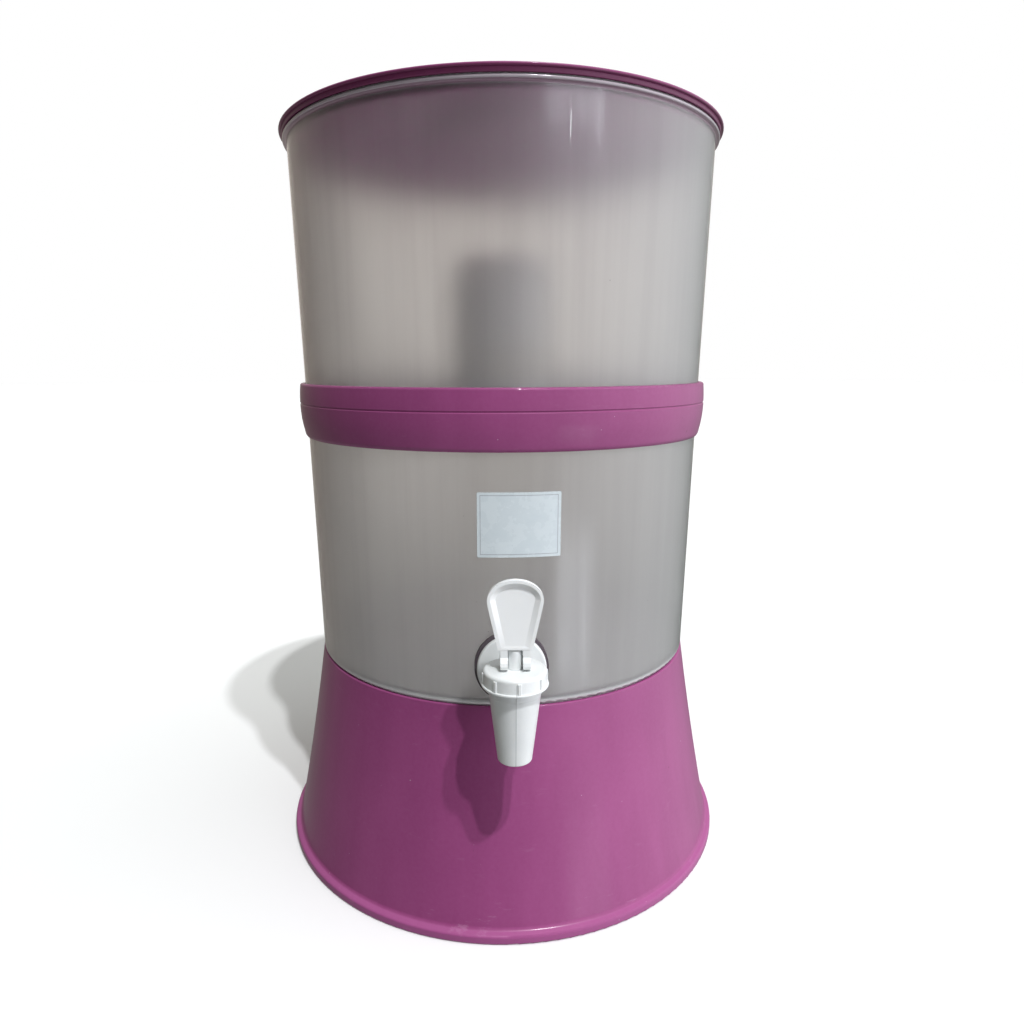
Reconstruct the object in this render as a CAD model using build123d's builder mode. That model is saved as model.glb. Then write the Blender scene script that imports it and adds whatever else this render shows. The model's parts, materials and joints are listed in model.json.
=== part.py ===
from build123d import *
import os
from math import sin, cos, radians, atan2

# Gravity water filter: a stand, two stacked translucent containers joined by a
# collar, a lid, a ceramic filter candle in the upper container and a lever tap on
# the lower one.
#
# Frame: +Z up, origin on the vertical axis at the underside of the stand, the tap
# points along -Y. Millimetres.

os.makedirs("parts", exist_ok=True)

# ------------------------------------------------------------------ dimensions
# stand
base_flange_r = 160.0        # outer radius of the foot flange
base_flange_h = 6.2          # height of the flange's sloping ledge
base_cone_foot_r = 155.5     # cone radius just above the flange
base_cone_mid_r = 143.3      # cone radius half way up (the side is slightly hollow)
base_top_r = 132.7           # outer radius at the top edge
base_top_z = 138.9
base_wall = 2.4
base_cup_r = 130.3           # bore that takes the foot of the lower container
base_ledge_z = 131.0         # ledge the lower container stands on
base_ledge_in_r = 119.5
base_webs = 12

# lower container
low_floor_z0, low_floor_z1 = 139.3, 141.9
low_foot_r0, low_foot_r1 = 126.8, 129.6
low_slope = 0.0212           # radius gained per millimetre of height
low_r_at_floor = 132.4
low_wall = 2.0
low_rim_z = 305.9
low_rim_r = 135.6

# collar
col_z0, col_z1 = 290.4, 325.6
col_lip_r = 136.25           # inner radius of the lower lip
col_web_z0, col_web_z1 = 305.9, 308.3
col_web_r = 127.0
col_cup_r0, col_cup_r1 = 136.65, 136.90

# upper container
up_foot_z = 308.3
up_floor_z0, up_floor_z1 = 310.3, 312.7
up_r_at_floor = 136.0
up_r_at_rim = 140.0
up_rim_z0, up_rim_z1 = 475.6, 477.4   # thin out-turned rim flange
up_rim_r = 142.5
up_top_z = 480.0
up_wall = 2.0
candle_hole_r = 5.4

# lid
lid_r = 144.5
lid_edge_z0, lid_edge_z1 = 480.6, 482.2
lid_skirt_r0, lid_skirt_r1 = 141.2, 143.0
lid_skirt_z = 478.2
lid_plug_r0, lid_plug_r1 = 135.4, 137.4
lid_plug_z = 472.0
lid_crown_z = 497.0
lid_t = 2.2
grip_r = 41.0                # finger recess radius
grip_bar = 20.0              # width of the bar left across it
grip_depth = 10.4

# candle
cdl_r = 33.5
cdl_top_z = 409.0
cdl_wall = 7.5
cdl_base_z0, cdl_base_z1 = 315.3, 323.0
cdl_stem_r = 5.0
cdl_stem_z = 286.5

# tap
tap_y = -170.0               # vertical axis of the barrel
tap_z = 165.4                # horizontal axis of the shank
tap_shank_r = 8.0
tap_wall_hole_r = 8.4
tap_flange_r = 20.2
tap_flange_y0, tap_flange_y1 = -139.8, -136.3
tap_gasket_r = 21.6
neck_r, neck_z, neck_y = 7.6, 162.4, 151.2   # where the neck has passed under the bonnet
tap_outlet_r = 7.0           # bore of the spout
tap_spout_z = 127.0
tap_seat_z = 153.0
tap_chamber_r = 11.0
tap_neck_z = 177.2           # top of the barrel, under the bonnet
bonnet_r = 17.2
bonnet_lip_r = 18.05
bonnet_z0, bonnet_z1 = 170.6, 179.5
stem_r = 3.8
stem_bore_r = 3.87
pin_z = 185.0
pin_r = 1.5
pin_bore_r = 1.57
lever_half = 7.95            # half width over the fork prongs
lever_gap = 4.05             # half the gap between the prongs
lever_travel = 45.0          # degrees
lever_clear = 5.4            # pin centre to the foot of the cam at rest
lever_rise = 2.0             # millimetres of lift per radian
paddle_z0 = 191.2
paddle_wide_z = 218.3
paddle_top_z = 229.2
paddle_foot_half = 9.2
paddle_half = 14.75
paddle_lead = 4.3            # front of the paddle's foot ahead of the barrel axis
paddle_tip_lead = 4.7        # front of its tip
paddle_deep_foot = 0.15       # depth of the dish's floor at the paddle's foot
paddle_deep_top = 2.3         # and at its tip

# sticker on the lower container
label_w, label_h, label_z = 47.5, 37.5, 249.4
label_t = 0.16
label_turn = 1.9             # degrees round from the tap


def low_r(z):
    """outer radius of the lower container's wall at height z"""
    return low_r_at_floor + low_slope * (z - 139.2)


def up_r(z):
    """outer radius of the upper container's wall at height z"""
    return up_r_at_floor + (up_r_at_rim - up_r_at_floor) * (z - 312.0) / (476.0 - 312.0)


def near(sketch, x, y):
    """the sketch corner closest to a point"""
    return sorted(sketch.vertices(), key=lambda v: (v.X - x) ** 2 + (v.Y - y) ** 2)[0]


def corners(sketch, *pts):
    return [near(sketch, x, y) for x, y in pts]


# ================================================================= base stand
# one of the webs that carry the ledge
with BuildPart() as base_web:
    with BuildSketch(Plane.XZ):
        with BuildLine():
            Polyline((121.5, base_ledge_z - 2.2), (122.5, 124.0), (132.9, 108.0),
                     (136.0, 106.0), (133.2, base_ledge_z - 2.2), close=True)
        make_face()
    extrude(amount=1.0, both=True)

with BuildPart() as base_stand:
    with BuildSketch(Plane.XZ) as s:
        with BuildLine():
            Polyline((base_cup_r, base_ledge_z), (base_ledge_in_r, base_ledge_z),
                     (base_ledge_in_r, base_ledge_z - 2.6), (131.8, base_ledge_z - 2.6))
            ThreePointArc((131.8, base_ledge_z - 2.6), (base_cone_mid_r - base_wall, 72.95),
                          (base_cone_foot_r - base_wall, 7.0))
            Polyline((base_cone_foot_r - base_wall, 7.0), (base_cone_foot_r - base_wall + 0.4, 3.8),
                     (base_flange_r - base_wall, 3.8), (base_flange_r - base_wall, 0.0),
                     (base_flange_r, 0.0), (base_flange_r, base_flange_h - 0.9),
                     (base_cone_foot_r + 0.35, base_flange_h + 1.2))
            ThreePointArc((base_cone_foot_r + 0.35, base_flange_h + 1.2), (base_cone_mid_r, 72.95),
                          (base_top_r, base_top_z))
            Polyline((base_top_r, base_top_z), (base_cup_r, base_top_z),
                     (base_cup_r, base_ledge_z))
        make_face()
        fillet(corners(s, (base_flange_r, 0.0)), 1.3)
        fillet(corners(s, (base_flange_r, base_flange_h - 0.9)), 1.8)
        fillet(corners(s, (base_flange_r - base_wall, 0.0)), 0.5)
        fillet(corners(s, (base_top_r, base_top_z)), 0.9)
        fillet(corners(s, (base_cup_r, base_top_z)), 0.6)
        fillet(corners(s, (base_ledge_in_r, base_ledge_z), (base_ledge_in_r, base_ledge_z - 2.6)), 0.8)
        # the side runs out into the flange with a soft hollow
        fillet(corners(s, (base_cone_foot_r + 0.35, base_flange_h + 1.2)), 3.0)
    revolve(axis=Axis.Z)
    # webs under the ledge
    with PolarLocations(0, base_webs):
        add(base_web.part)
base_stand.part.label = "base_stand"
export_step(base_stand.part, "parts/base_stand.step")

# ============================================================ lower container
with BuildPart() as lower_container:
    with BuildSketch(Plane.XZ) as s:
        with BuildLine():
            Polyline((0, low_floor_z0), (low_foot_r0, low_floor_z0), (low_foot_r0, base_ledge_z),
                     (low_foot_r1, base_ledge_z), (low_foot_r1, low_floor_z0),
                     (low_r(low_floor_z0), low_floor_z0), (low_r(290.0), 290.0),
                     (low_rim_r, 292.0), (low_rim_r, low_rim_z),
                     (low_rim_r - low_wall, low_rim_z), (low_rim_r - low_wall, 292.0),
                     (low_r(low_floor_z1) - low_wall, low_floor_z1), (0, low_floor_z1), close=True)
        make_face()
        fillet(corners(s, (low_r(low_floor_z0), low_floor_z0)), 2.4)
        fillet(corners(s, (low_r(low_floor_z1) - low_wall, low_floor_z1)), 2.6)
        fillet(corners(s, (low_rim_r, low_rim_z), (low_rim_r - low_wall, low_rim_z)), 0.6)
        fillet(corners(s, (low_foot_r0, base_ledge_z), (low_foot_r1, base_ledge_z)), 0.6)
    revolve(axis=Axis.Z)
    # hole for the tap's shank
    with BuildSketch(Plane.XZ.offset(110.0)):
        with Locations((0, tap_z)):
            Circle(tap_wall_hole_r)
    extrude(amount=40.0, mode=Mode.SUBTRACT)
lower_container.part.label = "lower_container"
export_step(lower_container.part, "parts/lower_container.step")

# ================================================================ front label
# thin sticker that follows the wall
with BuildPart() as front_label:
    with BuildSketch(Plane.XZ) as s:
        with BuildLine():
            Polyline((low_r(200.0) + 0.02, 200.0), (low_r(200.0) + 0.02 + label_t, 200.0),
                     (low_r(289.0) + 0.02 + label_t, 289.0), (low_r(289.0) + 0.02, 289.0), close=True)
        make_face()
    revolve(axis=Axis.Z)
    with BuildSketch(Plane(origin=(0, 0, 0), x_dir=(cos(radians(label_turn)), sin(radians(label_turn)), 0),
                           z_dir=(sin(radians(label_turn)), -cos(radians(label_turn)), 0)).offset(100.0)):
        with Locations((0, label_z)):
            RectangleRounded(label_w, label_h, 0.8)
    extrude(amount=60.0, mode=Mode.INTERSECT)
front_label.part.label = "front_label"
export_step(front_label.part, "parts/front_label.step")

# ================================================================ collar ring
with BuildPart() as collar_ring:
    with BuildSketch(Plane.XZ) as s:
        with BuildLine():
            Polyline((col_lip_r, col_z0), (136.75, col_z0))
            ThreePointArc((136.75, col_z0), (137.55, 291.6), (138.05, 293.2))
            ThreePointArc((138.05, 293.2), (139.75, 302.0), (140.45, 311.7))
            Polyline((140.45, 311.7), (140.0, 312.2), (140.0, 312.7), (140.42, 313.2))
            ThreePointArc((140.42, 313.2), (140.3, 319.0), (139.75, col_z1))
            Polyline((139.75, col_z1), (col_cup_r1, col_z1), (col_cup_r0, col_web_z1),
                     (col_web_r, col_web_z1), (col_web_r, col_web_z0), (137.4, col_web_z0),
                     (137.4, 298.0), (col_lip_r, 293.4), (col_lip_r, col_z0))
        make_face()
        fillet(corners(s, (139.75, col_z1)), 1.5)
        fillet(corners(s, (col_cup_r1, col_z1)), 0.4)
        fillet(corners(s, (col_web_r, col_web_z1), (col_web_r, col_web_z0)), 0.7)
    revolve(axis=Axis.Z)
collar_ring.part.label = "collar_ring"
export_step(collar_ring.part, "parts/collar_ring.step")

# ============================================================ upper container
with BuildPart() as upper_container:
    with BuildSketch(Plane.XZ) as s:
        with BuildLine():
            Polyline((candle_hole_r, up_floor_z0), (129.5, up_floor_z0), (129.5, up_foot_z),
                     (132.4, up_foot_z), (132.4, up_floor_z0), (up_r(up_floor_z0), up_floor_z0),
                     (up_r(up_rim_z0), up_rim_z0), (up_rim_r, up_rim_z0 + 0.1), (up_rim_r, up_rim_z1),
                     (up_r_at_rim + 0.1, up_rim_z1), (up_r_at_rim + 0.1, up_top_z),
                     (up_r_at_rim + 0.1 - up_wall, up_top_z),
                     (up_r(up_rim_z0) - up_wall, up_rim_z0),
                     (up_r(up_floor_z1) - up_wall, up_floor_z1),
                     (candle_hole_r, up_floor_z1), close=True)
        make_face()
        fillet(corners(s, (up_r(up_floor_z0), up_floor_z0)), 2.2)
        fillet(corners(s, (up_r(up_floor_z1) - up_wall, up_floor_z1)), 2.6)
        fillet(corners(s, (up_rim_r, up_rim_z0 + 0.1), (up_rim_r, up_rim_z1)), 0.7)
        fillet(corners(s, (up_r(up_rim_z0), up_rim_z0)), 0.8)
        fillet(corners(s, (up_r_at_rim + 0.1, up_rim_z1)), 0.5)
        fillet(corners(s, (up_r_at_rim + 0.1, up_top_z), (up_r_at_rim + 0.1 - up_wall, up_top_z)), 0.6)
        fillet(corners(s, (129.5, up_foot_z), (132.4, up_foot_z)), 0.5)
    revolve(axis=Axis.Z)
upper_container.part.label = "upper_container"
export_step(upper_container.part, "parts/upper_container.step")

# ======================================================================== lid
# outer form less inner form, both with the two finger recesses left in
crown_in_z = lid_crown_z - lid_t


def recess_faces(grow):
    """two D shaped finger recesses either side of the grip bar, grown outwards"""
    Circle(grip_r + grow)
    Rectangle(2 * (grip_r + grow) + 2, grip_bar - 2 * grow, mode=Mode.SUBTRACT)


with BuildPart() as lid_inner:
    with BuildSketch(Plane.XZ) as s:
        with BuildLine():
            Polyline((0, lid_plug_z - 10), (lid_plug_r0, lid_plug_z - 10), (lid_plug_r0, 480.6),
                     (133.4, 481.4), (129.6, 485.2))
            ThreePointArc((129.6, 485.2), (93.0, 491.2), (54.0, 494.0))
            Polyline((54.0, 494.0), (51.0, crown_in_z), (0, crown_in_z), (0, lid_plug_z - 10))
        make_face()
    revolve(axis=Axis.Z)
    with BuildSketch(Plane.XY.offset(lid_crown_z - grip_depth - lid_t)):
        recess_faces(lid_t)
    extrude(amount=30.0, mode=Mode.SUBTRACT)

with BuildPart() as lid:
    with BuildSketch(Plane.XZ) as s:
        with BuildLine():
            Polyline((0, lid_plug_z), (lid_plug_r1, lid_plug_z), (lid_plug_r1, up_top_z),
                     (lid_skirt_r0, up_top_z), (lid_skirt_r0, lid_skirt_z),
                     (lid_skirt_r1, lid_skirt_z), (lid_skirt_r1, lid_edge_z0),
                     (lid_r, lid_edge_z0), (lid_r, lid_edge_z1), (136.4, lid_edge_z1 + 0.2),
                     (132.2, 486.6))
            ThreePointArc((132.2, 486.6), (94.5, 493.0), (55.2, 496.1))
            Polyline((55.2, 496.1), (52.2, lid_crown_z), (0, lid_crown_z), (0, lid_plug_z))
        make_face()
        fillet(corners(s, (lid_r, lid_edge_z0), (lid_r, lid_edge_z1)), 0.7)
        fillet(corners(s, (lid_skirt_r1, lid_skirt_z)), 0.5)
        fillet(corners(s, (lid_skirt_r0, lid_skirt_z)), 0.4)
        fillet(corners(s, (lid_plug_r1, lid_plug_z)), 0.8)
        fillet(corners(s, (136.4, lid_edge_z1 + 0.2)), 2.5)
        fillet(corners(s, (132.2, 486.6)), 2.5)
    revolve(axis=Axis.Z)
    with BuildSketch(Plane.XY.offset(lid_crown_z - grip_depth)) as g:
        recess_faces(0.0)
        fillet(g.vertices(), 3.0)
    extrude(amount=30.0, mode=Mode.SUBTRACT)
    # soften the mouths of the recesses
    mouth = lid.edges().filter_by(lambda e: abs(e.center().Z - lid_crown_z) < 0.01
                                  and abs(e.bounding_box().max.Z - e.bounding_box().min.Z) < 0.01
                                  and e.center().X ** 2 + e.center().Y ** 2 > 1.0
                                  and e.bounding_box().size.X < 2 * grip_r + 1)
    fillet(mouth, 1.6)
    add(lid_inner.part, mode=Mode.SUBTRACT)
lid.part.label = "lid"
export_step(lid.part, "parts/lid.step")

# ===================================================================== candle
with BuildPart() as candle_base:
    with BuildSketch(Plane.XZ) as s:
        with BuildLine():
            Polyline((2.6, cdl_stem_z), (cdl_stem_r, cdl_stem_z), (cdl_stem_r, cdl_base_z0),
                     (cdl_r + 1.3, cdl_base_z0), (cdl_r + 1.3, cdl_base_z1 + 1.6),
                     (cdl_r + 0.05, cdl_base_z1 + 1.6), (cdl_r + 0.05, cdl_base_z1 - 2.0),
                     (2.6, cdl_base_z1 - 2.0), close=True)
        make_face()
        fillet(corners(s, (cdl_r + 1.3, cdl_base_z0)), 1.2)
        fillet(corners(s, (cdl_r + 1.3, cdl_base_z1 + 1.6)), 0.5)
        chamfer(corners(s, (cdl_stem_r, cdl_stem_z)), 0.8)
    revolve(axis=Axis.Z)
    # thread crests on the stem below the container's floor
    for i in range(9):
        with BuildSketch(Plane.XZ):
            with BuildLine():
                zc = cdl_stem_z + 2.0 + 1.5 * i
                Polyline((cdl_stem_r - 0.4, zc - 0.9), (cdl_stem_r + 0.3, zc), (cdl_stem_r - 0.4, zc + 0.9),
                         close=True)
            make_face()
        revolve(axis=Axis.Z)
candle_base.part.label = "candle_base"
export_step(candle_base.part, "parts/candle_base.step")

# hollow ceramic shell with a domed closed top
with BuildPart() as candle_ceramic:
    with BuildSketch(Plane.XZ) as s:
        with BuildLine():
            Polyline((0, cdl_top_z), (cdl_r, cdl_top_z), (cdl_r, cdl_base_z1 - 1.9),
                     (cdl_r - cdl_wall, cdl_base_z1 - 1.9), (cdl_r - cdl_wall, cdl_top_z - 9.0),
                     (0, cdl_top_z - 9.0), close=True)
        make_face()
        fillet(corners(s, (cdl_r, cdl_top_z)), 11.0)
        fillet(corners(s, (cdl_r - cdl_wall, cdl_top_z - 9.0)), 5.0)
    revolve(axis=Axis.Z)
candle_ceramic.part.label = "candle_ceramic"
export_step(candle_ceramic.part, "parts/candle_ceramic.step")

# block of activated carbon inside the shell
with BuildPart() as candle_carbon_core:
    with BuildSketch(Plane.XY.offset(cdl_base_z1 - 1.8)):
        Circle(cdl_r - cdl_wall - 1.5)
        Circle(6.0, mode=Mode.SUBTRACT)
    extrude(amount=66.0)
    fillet(candle_carbon_core.edges().filter_by(GeomType.CIRCLE).group_by(Axis.Z)[-1], 1.0)
candle_carbon_core.part.label = "candle_carbon_core"
export_step(candle_carbon_core.part, "parts/candle_carbon_core.step")

# rubber washers either side of the container's floor
with BuildPart() as candle_upper_washer:
    with BuildSketch(Plane.XY.offset(up_floor_z1)):
        Circle(15.0)
        Circle(cdl_stem_r + 0.35, mode=Mode.SUBTRACT)
    extrude(amount=cdl_base_z0 - up_floor_z1)
    fillet(candle_upper_washer.edges().filter_by(GeomType.CIRCLE).sort_by(lambda e: -e.radius)[0:2], 0.5)
candle_upper_washer.part.label = "candle_upper_washer"
export_step(candle_upper_washer.part, "parts/candle_upper_washer.step")

with BuildPart() as candle_lower_washer:
    with BuildSketch(Plane.XY.offset(up_floor_z0 - 2.4)):
        Circle(14.0)
        Circle(cdl_stem_r + 0.35, mode=Mode.SUBTRACT)
    extrude(amount=2.4)
    fillet(candle_lower_washer.edges().filter_by(GeomType.CIRCLE).sort_by(lambda e: -e.radius)[0:2], 0.5)
candle_lower_washer.part.label = "candle_lower_washer"
export_step(candle_lower_washer.part, "parts/candle_lower_washer.step")

# wing nut under the floor
nut_top = up_floor_z0 - 2.4
with BuildPart() as candle_wing_nut:
    with BuildSketch(Plane.XZ) as s:
        with BuildLine():
            Polyline((cdl_stem_r + 0.35, nut_top), (11.5, nut_top), (11.5, nut_top - 2.2),
                     (8.6, nut_top - 3.0), (8.2, nut_top - 10.0), (cdl_stem_r + 0.35, nut_top - 10.0),
                     close=True)
        make_face()
    revolve(axis=Axis.Z)
    with BuildSketch(Plane.XZ) as w:
        with BuildLine():
            Polyline((7.5, nut_top - 1.0), (10.5, nut_top - 1.6), (20.0, nut_top - 7.5),
                     (19.0, nut_top - 11.5), (13.0, nut_top - 9.0), (7.5, nut_top - 8.0), close=True)
        make_face()
        fillet(corners(w, (20.0, nut_top - 7.5), (19.0, nut_top - 11.5)), 1.6)
        mirror(about=Plane.YZ)
    extrude(amount=1.3, both=True)
candle_wing_nut.part.label = "candle_wing_nut"
export_step(candle_wing_nut.part, "parts/candle_wing_nut.step")

# ======================================================================== tap
# body: shank, mounting flange, neck and conical spout in one moulding
with BuildPart() as tap_body:
    # shank and flange, turned about the horizontal axis
    with BuildSketch(Plane.YZ) as s:
        with BuildLine():
            Polyline((-113.0, tap_z), (-113.0, tap_z + tap_shank_r), (tap_flange_y1, tap_z + tap_shank_r),
                     (tap_flange_y1, tap_z + tap_flange_r), (tap_flange_y0, tap_z + tap_flange_r),
                     (tap_flange_y0, tap_z), close=True)
        make_face()
        fillet(corners(s, (tap_flange_y0, tap_z + tap_flange_r)), 1.1)
        fillet(corners(s, (tap_flange_y1, tap_z + tap_flange_r)), 0.6)
        chamfer(corners(s, (-113.0, tap_z + tap_shank_r)), 0.9)
    revolve(axis=Axis((0, 0, tap_z), (0, 1, 0)))
    # neck: narrows and drops a little so that it passes under the bonnet
    with BuildSketch(Plane.XZ.offset(-tap_flange_y0 - 0.5)):
        with Locations((0, tap_z)):
            Circle(11.0)
    with BuildSketch(Plane.XZ.offset(neck_y)):
        with Locations((0, neck_z)):
            Circle(neck_r)
    loft()
    with BuildSketch(Plane.XZ.offset(neck_y)):
        with Locations((0, neck_z)):
            Circle(neck_r)
    extrude(amount=-tap_y - neck_y)
    # thread crests on the inner end of the shank
    for i in range(6):
        with BuildSketch(Plane.YZ):
            with BuildLine():
                yc = -115.2 - 2.0 * i
                Polyline((yc + 1.1, tap_z + tap_shank_r - 0.4), (yc, tap_z + tap_shank_r + 0.3),
                         (yc - 1.1, tap_z + tap_shank_r - 0.4), close=True)
            make_face()
        revolve(axis=Axis((0, 0, tap_z), (0, 1, 0)))
    # barrel and spout, turned about the vertical axis
    with BuildSketch(Plane.YZ) as s:
        with BuildLine():
            Polyline((tap_y, tap_spout_z), (tap_y + 9.35, tap_spout_z), (tap_y + 14.0, 165.6),
                     (tap_y + 14.3, 166.0), (tap_y + 14.35, 171.0), (tap_y + 13.6, 171.0),
                     (tap_y + 13.6, tap_neck_z), (tap_y, tap_neck_z), close=True)
        make_face()
        fillet(corners(s, (tap_y + 9.35, tap_spout_z)), 1.0)
        fillet(corners(s, (tap_y + 13.6, tap_neck_z)), 0.5)
    revolve(axis=Axis((0, tap_y, 0), (0, 0, 1)))
    # parting line of the mould down the front and back of the spout
    with BuildSketch(Plane.YZ):
        with BuildLine():
            Polyline((tap_y - 9.5, 128.6), (tap_y - 14.15, 165.6), (tap_y - 14.5, 166.1), (tap_y - 14.5, 170.4),
                     (tap_y, 170.4), (tap_y, 128.6), close=True)
        make_face()
    extrude(amount=0.22, both=True)
    # waterways
    with BuildSketch(Plane.XY.offset(tap_spout_z)):
        with Locations((0, tap_y)):
            Circle(tap_outlet_r)
    extrude(amount=150.0 - tap_spout_z, mode=Mode.SUBTRACT)
    with BuildSketch(Plane.XY.offset(140.0)):
        with Locations((0, tap_y)):
            Circle(4.5)
    extrude(amount=20.0, mode=Mode.SUBTRACT)
    with BuildSketch(Plane.XY.offset(151.8)):
        with Locations((0, tap_y)):
            Circle(tap_chamber_r)
    extrude(amount=40.0, mode=Mode.SUBTRACT)
    with BuildSketch(Plane.XY.offset(151.8)):
        with Locations((0, tap_y)):
            Circle(5.6)
            Circle(4.5, mode=Mode.SUBTRACT)
    extrude(amount=tap_seat_z - 151.8)
    with BuildSketch(Plane(origin=(0, -112.0, tap_z), x_dir=(1, 0, 0), z_dir=(0, -49.0, neck_z - tap_z))):
        Circle(4.5)
    extrude(amount=50.0, mode=Mode.SUBTRACT)
tap_body.part.label = "tap_body"
export_step(tap_body.part, "parts/tap_body.step")

# outer gasket: flat against the flange, shaped to the container's wall
wall_cut_out = [(0, 120.0), (low_r(120.0) + 0.03, 120.0), (low_r(210.0) + 0.03, 210.0), (0, 210.0)]
with BuildPart() as tap_outer_gasket:
    with BuildSketch(Plane.XZ.offset(-tap_flange_y1 - 12.0)):
        with Locations((0, tap_z)):
            Circle(tap_gasket_r)
            Circle(tap_shank_r + 0.45, mode=Mode.SUBTRACT)
    extrude(amount=12.0)
    with BuildSketch(Plane.XZ):
        with BuildLine():
            Polyline(*wall_cut_out, close=True)
        make_face()
    revolve(axis=Axis.Z, mode=Mode.SUBTRACT)
tap_outer_gasket.part.label = "tap_outer_gasket"
export_step(tap_outer_gasket.part, "parts/tap_outer_gasket.step")

# inner gasket: shaped to the inside of the wall, flat under the nut
with BuildPart() as tap_inner_gasket:
    with BuildSketch(Plane.XZ.offset(127.5)):
        with Locations((0, tap_z)):
            Circle(15.0)
            Circle(tap_shank_r + 0.45, mode=Mode.SUBTRACT)
    extrude(amount=8.0)
    with BuildSketch(Plane.XZ):
        with BuildLine():
            Polyline((0, 120.0), (low_r(120.0) - low_wall - 0.03, 120.0),
                     (low_r(210.0) - low_wall - 0.03, 210.0), (0, 210.0), close=True)
        make_face()
    revolve(axis=Axis.Z, mode=Mode.INTERSECT)
tap_inner_gasket.part.label = "tap_inner_gasket"
export_step(tap_inner_gasket.part, "parts/tap_inner_gasket.step")

with BuildPart() as tap_shank_nut:
    with BuildSketch(Plane.XZ.offset(119.5)):
        with Locations((0, tap_z)):
            RegularPolygon(radius=13.0, side_count=6, major_radius=False)
            Circle(tap_shank_r + 0.38, mode=Mode.SUBTRACT)
    extrude(amount=8.0)
    fillet(tap_shank_nut.edges().filter_by(Axis.Y), 0.8)
tap_shank_nut.part.label = "tap_shank_nut"
export_step(tap_shank_nut.part, "parts/tap_shank_nut.step")

# bonnet screwed over the barrel
tap_axis = Axis((0, tap_y, 0), (0, 0, 1))
with BuildPart() as tap_bonnet:
    with BuildSketch(Plane.YZ) as s:
        with BuildLine():
            Polyline((tap_y + stem_bore_r, bonnet_z1), (tap_y + bonnet_r - 0.2, bonnet_z1),
                     (tap_y + bonnet_r, 171.9), (tap_y + bonnet_lip_r, 171.7),
                     (tap_y + bonnet_lip_r, bonnet_z0), (tap_y + 14.75, bonnet_z0),
                     (tap_y + 14.75, 171.2), (tap_y + 13.75, 171.2), (tap_y + 13.75, tap_neck_z + 0.1),
                     (tap_y + stem_bore_r, tap_neck_z + 0.1), close=True)
        make_face()
        fillet(corners(s, (tap_y + bonnet_r - 0.2, bonnet_z1)), 1.7)
        fillet(corners(s, (tap_y + bonnet_lip_r, 171.7), (tap_y + bonnet_lip_r, bonnet_z0)), 0.35)
    revolve(axis=tap_axis)
    # grip ribs round the side
    with BuildSketch(Plane.XY.offset(171.5)) as g:
        with Locations((0, tap_y)):
            with PolarLocations(bonnet_r - 0.1, 8, start_angle=-90.0 + 5.2):
                Rectangle(1.3, 1.9)
        fillet(g.vertices(), 0.35)
    extrude(amount=6.2)
tap_bonnet.part.label = "tap_bonnet"
export_step(tap_bonnet.part, "parts/tap_bonnet.step")

# valve stem
with BuildPart() as tap_stem:
    with BuildSketch(Plane.YZ) as s:
        with BuildLine():
            Polyline((tap_y, 154.6), (tap_y + 2.5, 154.6), (tap_y + 2.5, 158.0), (tap_y + 8.3, 158.0),
                     (tap_y + 8.3, 160.2), (tap_y + stem_r, 160.2), (tap_y + stem_r, 190.2),
                     (tap_y, 190.2), close=True)
        make_face()
        fillet(corners(s, (tap_y + stem_r, 190.2)), 0.8)
        fillet(corners(s, (tap_y + 8.3, 158.0), (tap_y + 8.3, 160.2)), 0.4)
    revolve(axis=tap_axis)
    with BuildSketch(Plane.YZ.offset(-10)):
        with Locations((tap_y, pin_z)):
            Circle(pin_r)
    extrude(amount=20.0, mode=Mode.SUBTRACT)
tap_stem.part.label = "tap_stem"
export_step(tap_stem.part, "parts/tap_stem.step")

# rubber plug pushed on the end of the stem
with BuildPart() as tap_seat_plug:
    with BuildSketch(Plane.YZ) as s:
        with BuildLine():
            Polyline((tap_y, tap_seat_z), (tap_y + 7.0, tap_seat_z), (tap_y + 7.6, 158.0),
                     (tap_y + 2.5, 158.0), (tap_y + 2.5, 154.6), (tap_y, 154.6), close=True)
        make_face()
        fillet(corners(s, (tap_y + 7.0, tap_seat_z)), 0.8)
    revolve(axis=tap_axis)
tap_seat_plug.part.label = "tap_seat_plug"
export_step(tap_seat_plug.part, "parts/tap_seat_plug.step")

# return spring between the stem's collar and the bonnet
spring_wire, spring_r = 0.5, 6.3
spring_lo, spring_hi = 160.2 + spring_wire + 0.02, tap_neck_z + 0.1 - spring_wire - 0.02
spring_turns = 5
with BuildPart() as tap_spring:
    with BuildLine(Plane(origin=(0, tap_y, spring_lo))) as coil:
        Helix(pitch=(spring_hi - spring_lo) / spring_turns, height=spring_hi - spring_lo, radius=spring_r)
    with BuildSketch(Plane(origin=coil.edges()[0] @ 0, z_dir=coil.edges()[0] % 0)):
        Circle(spring_wire)
    sweep(path=coil.edges()[0], is_frenet=True)
tap_spring.part.label = "tap_spring"
export_step(tap_spring.part, "parts/tap_spring.step")

# hinge pin through the stem's head
with BuildPart() as tap_lever_pin:
    with BuildSketch(Plane.YZ.offset(-lever_half + 0.05)):
        with Locations((tap_y, pin_z)):
            Circle(pin_r)
    extrude(amount=2 * lever_half - 0.1)
    chamfer(tap_lever_pin.edges().filter_by(GeomType.CIRCLE), 0.2)
tap_lever_pin.part.label = "tap_lever_pin"
export_step(tap_lever_pin.part, "parts/tap_lever_pin.step")

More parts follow.
